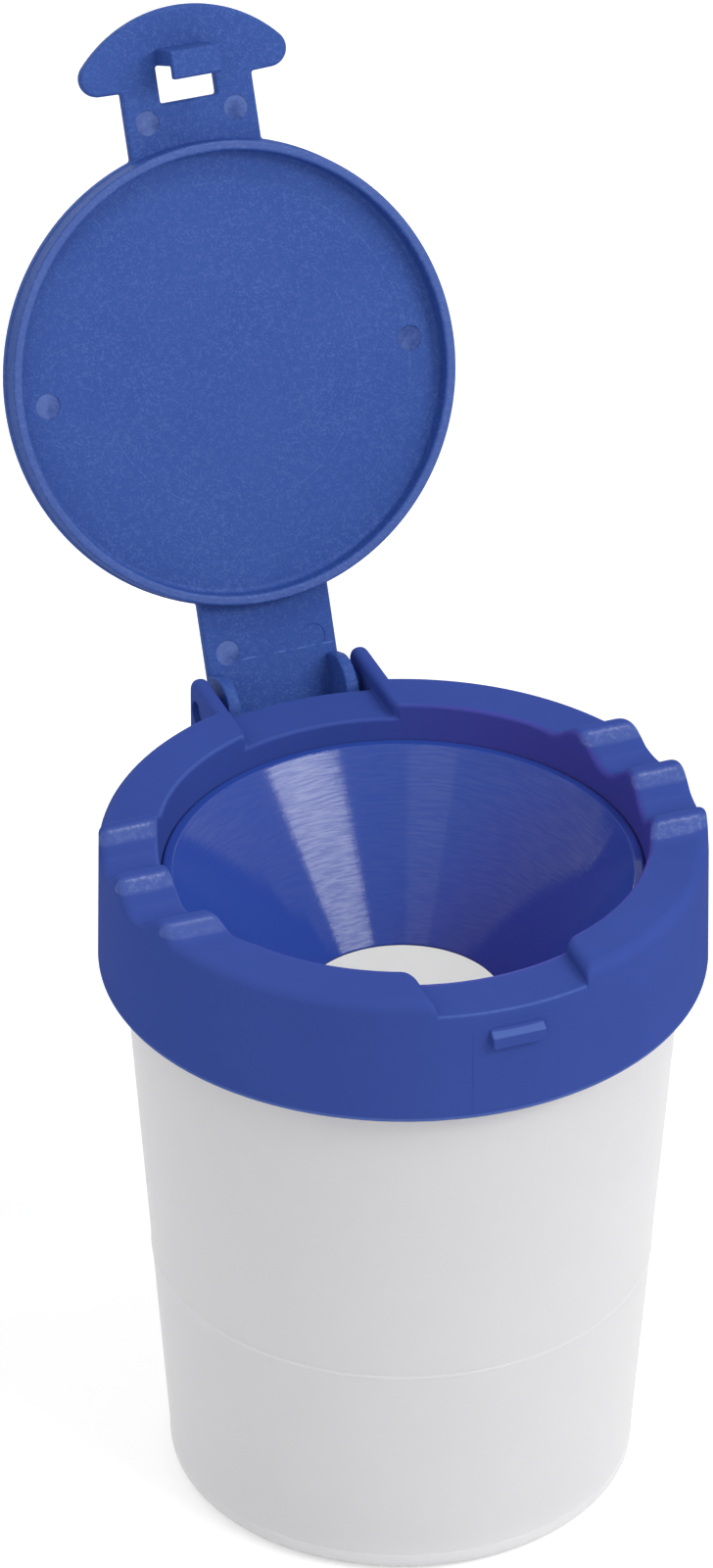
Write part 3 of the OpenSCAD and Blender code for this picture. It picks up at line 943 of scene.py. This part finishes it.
class Effects:
    """Makes each shared effect's node group once."""

    def __init__(self) -> None:
        """Starts with no group made."""
        self.made: dict[Effect, bpy.types.NodeTree] = {}

    def group(self, effect: Effect) -> bpy.types.NodeTree:
        """Returns an effect's node group, made on first use."""
        if effect not in self.made:
            self.made[effect] = {Effect.GRAIN: self.grain, Effect.TURNED: self.turned,
                                 Effect.DRIFT: self.drift, Effect.LINE: self.line}[effect](effect.value)
        return self.made[effect]

    def blank(self, name: str, inputs: Sequence[tuple[str, str, object]],
              outputs: Sequence[tuple[str, str]]) -> tuple[Wiring, bpy.types.Node, bpy.types.Node]:
        """Makes an empty group.

        Args:
            name: the group's name.
            inputs: name, socket type and default of each input.
            outputs: name and socket type of each output.

        Returns:
            The wiring, the group's input node and its output node.
        """
        tree = bpy.data.node_groups.new(name, "ShaderNodeTree")
        for label, kind, value in inputs:
            socket = tree.interface.new_socket(label, in_out="INPUT", socket_type=kind)
            if value is not None:
                socket.default_value = value
        for label, kind in outputs:
            tree.interface.new_socket(label, in_out="OUTPUT", socket_type=kind)
        wiring = Wiring(tree)
        return wiring, wiring.add("NodeGroupInput"), wiring.add("NodeGroupOutput")

    def grain(self, name: str) -> bpy.types.NodeTree:
        """Spark-eroded mould grain: fine pits with patches that print more or less.

        Inputs are the place, the grains per metre and how patchy it is; outputs are a
        height and a mask that is 1 where the grain stands up.
        """
        w, given, out = self.blank(name, [
            ("Vector", "NodeSocketVector", None), ("Scale", "NodeSocketFloat", 2600.0),
            ("Patchiness", "NodeSocketFloat", 0.5)],
            [("Height", "NodeSocketFloat"), ("Mask", "NodeSocketFloat")])
        fine = w.noise(given.outputs["Vector"], given.outputs["Scale"], 3.0, 0.6)
        coarse = w.noise(given.outputs["Vector"], w.math("MULTIPLY", given.outputs["Scale"], 0.4), 2.0)
        patch = w.noise(given.outputs["Vector"], w.math("MULTIPLY", given.outputs["Scale"], 0.035), 2.0)
        patch = w.ramp(patch, 0.35, 0.65)
        strength = w.math("SUBTRACT", 1.0, w.math("MULTIPLY", given.outputs["Patchiness"], patch))
        height = w.math("ADD", w.math("MULTIPLY", fine, 0.65), w.math("MULTIPLY", coarse, 0.35))
        w.feed(w.math("MULTIPLY", height, strength), out.inputs["Height"])
        w.feed(w.math("MULTIPLY", w.ramp(height, 0.47, 0.61), strength), out.inputs["Mask"])
        return w.tree

    def turned(self, name: str) -> bpy.types.NodeTree:
        """Tool marks round the Z axis: broken, slightly wavy lines at each height.

        Inputs are the place, the lines per metre of height and how long a line runs round
        the axis, in turns; outputs are a height and a mask of the brightest lines.
        """
        w, given, out = self.blank(name, [
            ("Vector", "NodeSocketVector", None), ("Scale", "NodeSocketFloat", 2200.0),
            ("Run", "NodeSocketFloat", 0.12)], [("Height", "NodeSocketFloat"), ("Mask", "NodeSocketFloat")])
        parts = w.add("ShaderNodeSeparateXYZ")
        w.feed(given.outputs["Vector"], parts.inputs[0])
        turn = w.math("ARCTAN2", parts.outputs["Y"], parts.outputs["X"])
        wobble = w.math("MULTIPLY", w.noise(given.outputs["Vector"], 90.0, 1.0), 0.0016)
        level = w.math("MULTIPLY", w.math("ADD", parts.outputs["Z"], wobble), given.outputs["Scale"])
        joined = w.add("ShaderNodeCombineXYZ")
        w.feed(w.math("DIVIDE", turn, given.outputs["Run"]), joined.inputs["X"])
        w.feed(level, joined.inputs["Z"])
        lines = w.noise(joined.outputs[0], 1.0, 3.0, 0.65)
        w.feed(lines, out.inputs["Height"])
        w.feed(w.ramp(lines, 0.52, 0.68), out.inputs["Mask"])
        return w.tree

    def drift(self, name: str) -> bpy.types.NodeTree:
        """Slow drift between two tones of a colour, with flow marks along the moulding.

        Inputs are the place, the two tones and the size of the patches per metre; the
        output is the colour.
        """
        w, given, out = self.blank(name, [
            ("Vector", "NodeSocketVector", None), ("Tone", "NodeSocketColor", None),
            ("Other Tone", "NodeSocketColor", None), ("Scale", "NodeSocketFloat", 45.0)],
            [("Color", "NodeSocketColor")])
        slow = w.noise(given.outputs["Vector"], given.outputs["Scale"], 2.0, 0.55)
        fine = w.noise(given.outputs["Vector"], w.math("MULTIPLY", given.outputs["Scale"], 9.0), 3.0, 0.6)
        share = w.math("ADD", w.math("MULTIPLY", w.ramp(slow, 0.32, 0.68), 0.75),
                       w.math("MULTIPLY", w.ramp(fine, 0.4, 0.7), 0.25))
        w.feed(w.blend(share, given.outputs["Tone"], given.outputs["Other Tone"]), out.inputs["Color"])
        return w.tree

    def line(self, name: str) -> bpy.types.NodeTree:
        """A thin line mask: for the marks where two parts of a mould meet, and for the collar's painted
        highlight lines along its edges.

        Inputs are the place, the distance from the line and its width in metres, and how
        broken it is; the output is 1 on the line, fading in and out along it.
        """
        w, given, out = self.blank(name, [
            ("Vector", "NodeSocketVector", None), ("Distance", "NodeSocketFloat", 0.0),
            ("Width", "NodeSocketFloat", 0.00012), ("Broken", "NodeSocketFloat", 1.0)],
            [("Mask", "NodeSocketFloat")])
        line = w.ramp(w.math("ABSOLUTE", given.outputs["Distance"]), 0.0, given.outputs["Width"], 1.0, 0.0)
        slow = w.ramp(w.noise(given.outputs["Vector"], 60.0, 1.0), 0.4, 0.6)
        fine = w.ramp(w.noise(given.outputs["Vector"], 900.0, 2.0), 0.35, 0.6)
        gaps = w.math("SUBTRACT", 1.0, w.math("MULTIPLY", slow, fine))
        whole = w.math("SUBTRACT", 1.0, w.math("MULTIPLY", gaps, given.outputs["Broken"]))
        w.feed(w.math("MULTIPLY", line, whole), out.inputs["Mask"])
        return w.tree


EFFECTS = Effects()


class Finish:
    """A material on its own wiring: its shader, its place and the shared effects."""

    def __init__(self, name: str, roughness: float, specular: float, coat: float = 0.0) -> None:
        """Starts the material.

        Args:
            name: the material's name.
            roughness: the shader's plain roughness, and the coat's.
            specular: the shader's specular level.
            coat: the weight of the thin gloss over it.
        """
        self.material = bpy.data.materials.new(name)
        self.material.use_nodes = True
        self.w = Wiring(self.material.node_tree)
        self.shader = self.material.node_tree.nodes["Principled BSDF"]
        self.shader.inputs["Roughness"].default_value = roughness
        self.shader.inputs["Specular IOR Level"].default_value = specular
        self.shader.inputs["Coat Weight"].default_value = coat
        self.shader.inputs["Coat Roughness"].default_value = roughness
        self.place = self.w.add("ShaderNodeTexCoord").outputs["Object"]

    def parts(self, where: object) -> dict[str, bpy.types.NodeSocket]:
        """Splits a place into X, Y, Z and R, its distance from the Z axis."""
        split = self.w.add("ShaderNodeSeparateXYZ")
        self.w.feed(where, split.inputs[0])
        out = {axis: split.outputs[axis] for axis in "XYZ"}
        squares = [self.w.math("MULTIPLY", out[axis], out[axis]) for axis in "XY"]
        out["R"] = self.w.math("SQRT", self.w.math("ADD", *squares))
        return out

    def line(self, where: object, along: object, at_mm: float, width_mm: float,
             broken: float = 1.0) -> bpy.types.NodeSocket:
        """Draws a thin line where a coordinate has a value: a mould mark, and on the collar also a painted
        highlight line.

        Args:
            where: the place.
            along: the coordinate that is constant on the line.
            at_mm: its value on the line.
            width_mm: the line's half width.
            broken: how broken the line is, from 0 to 1.

        Returns:
            The line's mask.
        """
        off = self.w.math("SUBTRACT", along, at_mm * MM)
        node = self.effect(Effect.LINE, where, Distance=off, Width=width_mm * MM, Broken=broken)
        return node.outputs["Mask"]

    def effect(self, effect: Effect, where: object, **values: object) -> bpy.types.Node:
        """Places a shared effect.

        Args:
            effect: which one.
            where: the place it reads.
            values: its other inputs, with spaces written as underscores.

        Returns:
            The group's node.
        """
        node = self.w.add("ShaderNodeGroup", node_tree=EFFECTS.group(effect))
        self.w.feed(where, node.inputs["Vector"])
        for key, value in values.items():
            self.w.feed(value, node.inputs[key.replace("_", " ")])
        return node

    def tones(self, tone: Tone, other: Tone, scale: float) -> bpy.types.NodeSocket:
        """Makes the colour that drifts between two tones.

        Args:
            tone: the one tone.
            other: the other tone.
            scale: patches per metre.

        Returns:
            The colour.
        """
        node = self.effect(Effect.DRIFT, self.place, Tone=(*tone, 1), Other_Tone=(*other, 1), Scale=scale)
        return node.outputs["Color"]

    def span(self, along: object, ends: Span, falls: bool = False) -> bpy.types.NodeSocket:
        """Makes a mask that rises, or falls, while a length in metres goes through a span."""
        values = (1.0, 0.0) if falls else (0.0, 1.0)
        return self.w.ramp(along, ends[0] * MM, ends[1] * MM, *values)

    def relief(self, normal: object) -> None:
        """Gives the base and the gloss over it the same normal."""
        self.w.feed(normal, self.shader.inputs["Normal"])
        self.w.feed(normal, self.shader.inputs["Coat Normal"])

    def bump(self, height: object, depth_mm: float, under: object = None) -> bpy.types.NodeSocket:
        """Adds a Bump node.

        Args:
            height: the height's socket.
            depth_mm: how deep a height of 1 is.
            under: the normal of a bump below this one.

        Returns:
            The bumped normal.
        """
        node = self.w.add("ShaderNodeBump")
        node.inputs["Distance"].default_value = depth_mm * MM
        self.w.feed(height, node.inputs["Height"])
        if under is not None:
            self.w.feed(under, node.inputs["Normal"])
        return node.outputs["Normal"]


@dataclass(frozen=True)
class CollarFinish:
    """Smooth moulded blue polypropylene, faintly orange-peeled and glossier along its crests, with painted
    highlights on the crests, the nub's top and the recess and slot edges, and painted violet shade in the
    recess.
    """

    tone: Tone = (0.041, 0.072, 0.306)
    other: Tone = (0.044, 0.079, 0.330)
    # The violet tone below is painted shade for the recess; the pale tone after it serves the foot line and
    # the painted highlights.
    recess_shade_tone: Tone = (0.074, 0.066, 0.365)
    pale_line_and_highlight_tone: Tone = (0.10, 0.17, 0.46)
    recess_shade_shift: float = 0.75
    roughness: float = 0.26
    specular: float = 0.0
    coat: float = 0.03
    crest_coat: float = 0.6
    crest_pitch: float = 12.5
    crest_band_y: float = -0.5
    crest_band_w: float = 1.4
    edge_r: float = 33.85
    foot_line: float = 82.75
    brink_z: float = 98.9
    recess_out: Span = (33.7, 34.4)
    right_side: Span = (4.0, 24.0)
    front_side: Span = (-12.0, 0.0)
    crest_top: Span = (101.4, 101.8)
    nub_out: Span = (42.1, 42.3)
    nub_top: Span = (95.3, 95.6)
    nub_front: Span = (-40.0, -35.0)
    edge_side: Span = (2.0, 18.0)
    edge_top: Span = (98.3, 98.6)
    slot_side: Span = (10.4, 10.8)
    brink_out: Span = (41.3, 41.6)

    def crest_polish_and_highlight(self, f: Finish, parts: Parts, mask: object) -> bpy.types.NodeSocket:
        """Masks the band along each crest: glossier there, and its colour gets a painted highlight where
        the grain stands up.

        Args:
            f: the finish.
            parts: the place's parts.
            mask: the grain's mask.
        """
        start = (self.crest_band_y - self.crest_pitch / 2) * MM
        along = f.w.math("DIVIDE", f.w.math("SUBTRACT", parts["Y"], start), self.crest_pitch * MM)
        off = f.w.math("ABSOLUTE", f.w.math("SUBTRACT", f.w.math("FRACT", along), 0.5))
        half = self.crest_band_w / self.crest_pitch
        band = f.w.ramp(off, 0.4 * half, half, 1.0, 0.0)
        band = f.w.math("MULTIPLY", band, f.span(parts["Z"], self.crest_top))
        return f.w.math("MULTIPLY", band, f.w.math("MULTIPLY_ADD", mask, 0.7, third=0.6))

    def painted_highlights(self, f: Finish, parts: Parts, crest_polish_and_highlight: object) -> bpy.types.NodeSocket:
        """Masks the painted highlights: a share of the crest band, the nub's top, and the light lines along
        the recess edge and the slot floor's outer edge.
        """
        nub = f.w.math("MULTIPLY", f.span(parts["R"], self.nub_out), f.span(parts["Z"], self.nub_top))
        nub = f.w.math("MULTIPLY", nub, f.span(parts["Y"], self.nub_front, falls=True))
        edge = f.w.math("MULTIPLY", f.span(parts["X"], self.edge_side, falls=True),
                        f.span(parts["Z"], self.edge_top))
        edge = f.w.math("MULTIPLY", f.line(f.place, parts["R"], self.edge_r, 0.3, 0.3), edge)
        brink = f.w.math("MULTIPLY", f.line(f.place, parts["Z"], self.brink_z, 0.3, 0.45),
                         f.span(f.w.math("ABSOLUTE", parts["X"]), self.slot_side, falls=True))
        brink = f.w.math("MULTIPLY", brink, f.span(parts["R"], self.brink_out))
        out = f.w.math("MULTIPLY", crest_polish_and_highlight, 0.3)
        for mask, share in ((nub, 0.6), (edge, 0.35), (brink, 0.8)):
            out = f.w.math("MAXIMUM", out, f.w.math("MULTIPLY", mask, share))
        return out

    def material(self) -> bpy.types.Material:
        """Makes the material."""
        f = Finish("collar blue", self.roughness, self.specular, self.coat)
        parts = f.parts(f.place)
        # Painted shade: inside the recess, on the right and at the front, the colour turns violet.
        inside = f.w.math("MULTIPLY", f.span(parts["R"], self.recess_out, falls=True), self.recess_shade_shift)
        side = f.w.math("MAXIMUM", f.span(parts["X"], self.right_side),
                        f.span(parts["Y"], self.front_side, falls=True))
        colour = f.w.blend(f.w.math("MULTIPLY", inside, side), f.tones(self.tone, self.other, 40.0),
                           (*self.recess_shade_tone, 1))
        foot = f.line(f.place, parts["Z"], self.foot_line, 0.34, 0.15)
        colour = f.w.blend(f.w.math("MULTIPLY", foot, 0.75), colour, (*self.pale_line_and_highlight_tone, 1))
        grain = f.effect(Effect.GRAIN, f.place, Scale=1700.0, Patchiness=0.6)
        # The crest band is glossier, and part of it is mixed pale below as a painted highlight.
        crest_polish_and_highlight = self.crest_polish_and_highlight(f, parts, grain.outputs["Mask"])
        # Painted highlights: the crest band, the nub's top and the edge lines are mixed towards the pale
        # tone.
        colour = f.w.blend(self.painted_highlights(f, parts, crest_polish_and_highlight), colour, (*self.pale_line_and_highlight_tone, 1))
        f.w.feed(colour, f.shader.inputs["Base Color"])
        gloss = f.w.math("MULTIPLY_ADD", crest_polish_and_highlight, self.crest_coat, third=self.coat)
        f.w.feed(gloss, f.shader.inputs["Coat Weight"])
        peel = f.bump(f.w.noise(f.place, 260.0, 1.0), 0.02)
        f.relief(f.bump(grain.outputs["Height"], 0.03, peel))
        f.w.feed(f.w.ramp(grain.outputs["Mask"], 0.0, 1.0, self.roughness, self.roughness + 0.08),
                 f.shader.inputs["Roughness"])
        return f.material


@dataclass(frozen=True)
class FunnelFinish:
    """Glossier blue, with painted violet shade towards its right side and deeper in the cone, and the
    turned marks of its mould core.
    """

    mouth_z: float = 96.0
    tone: Tone = (0.027, 0.069, 0.342)
    other: Tone = (0.031, 0.065, 0.336)
    shade_tone: Tone = (0.052, 0.048, 0.310)
    shade_side: Span = (22.0, 50.0)
    shade_lean: float = 1.2
    cone_depth: Span = (0.0, 22.0)
    mouth_gloss: float = 1.15
    foot_gloss: float = 0.8
    roughness: float = 0.105
    specular: float = 0.0
    coat: float = 0.44
    line_coat: float = 0.26

    def material(self) -> bpy.types.Material:
        """Makes the material."""
        f = Finish("funnel blue", self.roughness, self.specular, self.coat)
        parts = f.parts(f.place)
        depth = f.w.math("SUBTRACT", self.mouth_z * MM, parts["Z"])
        # Painted shade: the colour turns violet towards the right and deeper down the cone.
        side = f.span(f.w.math("MULTIPLY_ADD", depth, self.shade_lean, third=parts["X"]), self.shade_side)
        colour = f.w.blend(side, f.tones(self.tone, self.other, 30.0), (*self.shade_tone, 1))
        f.w.feed(colour, f.shader.inputs["Base Color"])
        marks = f.effect(Effect.TURNED, f.place, Scale=3600.0, Run=0.16)
        peel = f.bump(f.w.noise(f.place, 200.0, 1.0), 0.006)
        f.relief(f.bump(marks.outputs["Height"], 0.015, peel))
        lines = f.w.ramp(marks.outputs["Height"], 0.4, 0.6)
        gloss = f.w.math("MULTIPLY_ADD", lines, self.line_coat, third=self.coat)
        start, end = (length * MM for length in self.cone_depth)
        fade = f.w.ramp(depth, start, end, self.mouth_gloss, self.foot_gloss)
        f.w.feed(f.w.math("MULTIPLY", gloss, fade), f.shader.inputs["Coat Weight"])
        return f.material


@dataclass(frozen=True)
class LidFinish:
    """Grained blue, with faint rings, a broken line across the strap, and a glossier bead whose crown has a
    faint painted highlight.
    """

    hinge_y: float
    hinge_z: float
    open_deg: float
    tone: Tone = (0.034, 0.082, 0.318)
    other: Tone = (0.039, 0.090, 0.330)
    roughness: float = 0.42
    specular: float = 0.0
    coat: float = 0.2
    pale_tone: Tone = (0.09, 0.16, 0.46)
    outer_ring: float = 26.7
    inner_ring: float = 19.0
    strap_line: float = 5.9
    bead_r: float = 31.95
    bead_half: Span = (0.3, 0.75)

    def material(self) -> bpy.types.Material:
        """Makes the material."""
        f = Finish("lid blue", self.roughness, self.specular, self.coat)
        flat = f.w.add("ShaderNodeMapping", vector_type="TEXTURE")
        f.w.feed(f.place, flat.inputs["Vector"])
        flat.inputs["Location"].default_value = (0, self.hinge_y * MM, self.hinge_z * MM)
        flat.inputs["Rotation"].default_value = (-math.radians(self.open_deg), 0, 0)
        disc = f.w.add("ShaderNodeVectorMath", operation="ADD")
        f.w.feed(flat.outputs[0], disc.inputs[0])
        disc.inputs[1].default_value = (0, self.hinge_y * MM, 0)
        grain = f.effect(Effect.GRAIN, flat.outputs[0], Scale=2700.0, Patchiness=0.35)
        across = f.parts(disc.outputs[0])["R"]
        rings = f.w.math("MAXIMUM", f.line(disc.outputs[0], across, self.outer_ring, 0.14),
                         f.line(disc.outputs[0], across, self.inner_ring, 0.12))
        strap = f.line(flat.outputs[0], f.parts(flat.outputs[0])["Y"], -self.strap_line, 0.2, 1.0)
        marked = f.w.math("ADD", f.w.math("MULTIPLY", rings, 0.5), strap)
        off = f.w.math("ABSOLUTE", f.w.math("SUBTRACT", across, self.bead_r * MM))
        crown = f.span(off, self.bead_half, falls=True)
        pale = f.w.math("ADD", f.w.math("MULTIPLY", grain.outputs["Mask"], 0.42), marked, clamp=True)
        # Painted highlight: the bead's crown is mixed a little towards the pale tone.
        pale = f.w.math("MAXIMUM", pale, f.w.math("MULTIPLY", crown, 0.06))
        colour = f.w.blend(pale, f.tones(self.tone, self.other, 55.0), (*self.pale_tone, 1))
        f.w.feed(colour, f.shader.inputs["Base Color"])
        f.w.feed(f.w.math("MULTIPLY_ADD", crown, 0.5, third=self.coat), f.shader.inputs["Coat Weight"])
        f.relief(f.bump(grain.outputs["Height"], 0.11))
        f.w.feed(f.w.ramp(grain.outputs["Mask"], 0.0, 1.0, self.roughness, self.roughness - 0.1),
                 f.shader.inputs["Roughness"])
        return f.material


@dataclass(frozen=True)
class PinFinish:
    """The smoother print of an ejector pin's end; its dark and pale patches are a painted sheen."""

    tone: Tone = (0.022, 0.055, 0.24)
    other: Tone = (0.105, 0.170, 0.45)
    roughness: float = 0.3
    specular: float = 0.25

    def material(self) -> bpy.types.Material:
        """Makes the material."""
        f = Finish("ejector print painted sheen", self.roughness, self.specular)
        # Painted sheen: dark and pale patches across each mark stand in for its reflection.
        f.w.feed(f.tones(self.tone, self.other, 260.0), f.shader.inputs["Base Color"])
        f.w.feed(f.bump(f.w.noise(f.place, 1400.0, 2.0), 0.02), f.shader.inputs["Normal"])
        return f.material


@dataclass(frozen=True)
class CupFinish:
    """Natural, milky polypropylene that lets light through."""

    name: str = "natural translucent"
    tone: Tone = (0.80, 0.79, 0.815)
    other: Tone = (0.82, 0.81, 0.835)
    roughness: float = 0.42
    specular: float = 0.12
    scatter_mm: float = 4.5
    scatter: float = 1.0

    def material(self) -> bpy.types.Material:
        """Makes the material."""
        f = Finish(self.name, self.roughness, self.specular)
        f.w.feed(f.tones(self.tone, self.other, 22.0), f.shader.inputs["Base Color"])
        f.shader.inputs["Subsurface Weight"].default_value = self.scatter
        f.shader.inputs["Subsurface Radius"].default_value = (1.0, 1.0, 1.0)
        f.shader.inputs["Subsurface Scale"].default_value = self.scatter_mm * MM
        marks = f.effect(Effect.TURNED, f.place, Scale=900.0, Run=0.5)
        peel = f.bump(f.w.noise(f.place, 120.0, 1.0), 0.02)
        f.w.feed(f.bump(marks.outputs["Height"], 0.006, peel), f.shader.inputs["Normal"])
        f.w.feed(f.w.ramp(marks.outputs["Mask"], 0.0, 1.0, self.roughness, self.roughness + 0.06),
                 f.shader.inputs["Roughness"])
        return f.material


@dataclass(frozen=True)
class View:
    """The photograph's camera, found from the rims' ellipses."""

    distance: float = 1144.74
    height: float = 835.72
    turned_deg: float = 21.44
    pan_deg: float = -0.3231
    tilt_deg: float = 32.392
    roll_deg: float = 0.1165
    focal_px: float = 10163.5

    def build(self) -> bpy.types.Object:
        """Makes the camera."""
        turned, pan = math.radians(self.turned_deg), math.radians(self.pan_deg)
        tilt, roll = math.radians(self.tilt_deg), math.radians(self.roll_deg)
        ahead = Vector((math.sin(pan) * math.cos(tilt), math.cos(pan) * math.cos(tilt), -math.sin(tilt)))
        right = Vector((math.cos(pan), -math.sin(pan), 0.0))
        up = right.cross(ahead)
        right, up = (math.cos(roll) * right + math.sin(roll) * up,
                     -math.sin(roll) * right + math.cos(roll) * up)
        spin = Matrix.Rotation(-turned, 3, "Z")
        axes = Matrix((spin @ right, spin @ up, -(spin @ ahead))).transposed()
        data = bpy.data.cameras.new("photo view")
        data.sensor_width = SENSOR_MM
        data.lens = self.focal_px / IMAGE_HEIGHT * SENSOR_MM
        data.clip_start, data.clip_end = 0.05, 20.0
        camera = bpy.data.objects.new("photo view", data)
        bpy.context.scene.collection.objects.link(camera)
        place = spin @ Vector((0.0, -self.distance, self.height))
        camera.matrix_world = Matrix.Translation(place * MM) @ axes.to_4x4()
        bpy.context.scene.camera = camera
        return camera


class Lamp(Enum):
    """The studio's lamps: direction from the rim, distance and size in metres, and power in watts."""

    KEY = ((0.45, -0.63, 0.62), 1.3, (0.70, 0.32), 6.1)
    FILL = ((-0.47, -0.60, 0.64), 1.3, (0.45, 1.6), 1.5)
    TOP = ((0.31, -0.10, 0.94), 1.2, (0.25, 0.22), 2.2)
    BACK = ((-0.10, 0.98, 0.16), 1.3, (1.4, 0.5), 4.5)


@dataclass
class Studio:
    """The floor, the world and the lamps."""

    floor_size: float = 6.0
    floor_tone: float = 0.82
    floor_glow: float = 0.38
    world_strength: float = 0.665
    backdrop: float = 0.85
    aim: tuple[float, float, float] = (0.0, 0.0, 0.1)

    def seen(self, w: Wiring) -> bpy.types.NodeSocket:
        """Is 1 for rays from the camera and for those that mirror or pass through."""
        rays = w.add("ShaderNodeLightPath")
        both = w.math("MAXIMUM", rays.outputs["Is Camera Ray"], rays.outputs["Is Glossy Ray"])
        return w.math("MAXIMUM", both, rays.outputs["Is Transmission Ray"])

    def floor(self) -> None:
        """Makes the pale floor: it shows white, and keeps the object's shadow."""
        bpy.ops.mesh.primitive_plane_add(size=self.floor_size, location=(0, 0, -0.0002))
        floor = bpy.context.object
        floor.name = "floor"
        made = bpy.data.materials.new("pale floor")
        made.use_nodes = True
        w = Wiring(made.node_tree)
        shader = made.node_tree.nodes["Principled BSDF"]
        shader.inputs["Base Color"].default_value = (self.floor_tone, self.floor_tone, self.floor_tone, 1.0)
        shader.inputs["Roughness"].default_value = 1.0
        shader.inputs["Specular IOR Level"].default_value = 0.0
        shader.inputs["Emission Color"].default_value = (1, 1, 1, 1)
        w.feed(w.math("MULTIPLY", self.seen(w), self.floor_glow), shader.inputs["Emission Strength"])
        floor.data.materials.append(made)

    def world(self) -> None:
        """Lights the scene evenly, and shows white behind it."""
        world = bpy.data.worlds.new("studio")
        bpy.context.scene.world = world
        world.use_nodes = True
        w = Wiring(world.node_tree)
        back = world.node_tree.nodes["Background"]
        back.inputs["Color"].default_value = (1, 1, 1, 1)
        w.feed(w.ramp(self.seen(w), 0.0, 1.0, self.world_strength, self.backdrop), back.inputs["Strength"])

    def lamps(self) -> None:
        """Hangs the lamps, all aimed at the rim."""
        aim = Vector(self.aim)
        for lamp in Lamp:
            direction, distance, size, power = lamp.value
            data = bpy.data.lights.new(lamp.name.lower(), "AREA")
            data.shape = "RECTANGLE"
            data.size, data.size_y = size
            data.energy = power
            made = bpy.data.objects.new(lamp.name.lower(), data)
            bpy.context.scene.collection.objects.link(made)
            made.location = aim + Vector(direction).normalized() * distance
            made.rotation_euler = (aim - made.location).to_track_quat("-Z", "Y").to_euler()

    def build(self) -> None:
        """Makes the studio."""
        self.floor()
        self.world()
        self.lamps()
        bpy.context.scene.view_settings.view_transform = "Standard"


def main() -> None:
    """Builds the pieces in order and reports each one."""
    logging.basicConfig(level=logging.INFO, format="%(message)s")
    View().build()
    Studio().build()
    for maker in (Cup(), Collar(), Funnel(), Lid()):
        made = maker.build()
        log.info("%s: %d faces", made.name, len(made.data.polygons))


if __name__ == "__main__":
    main()
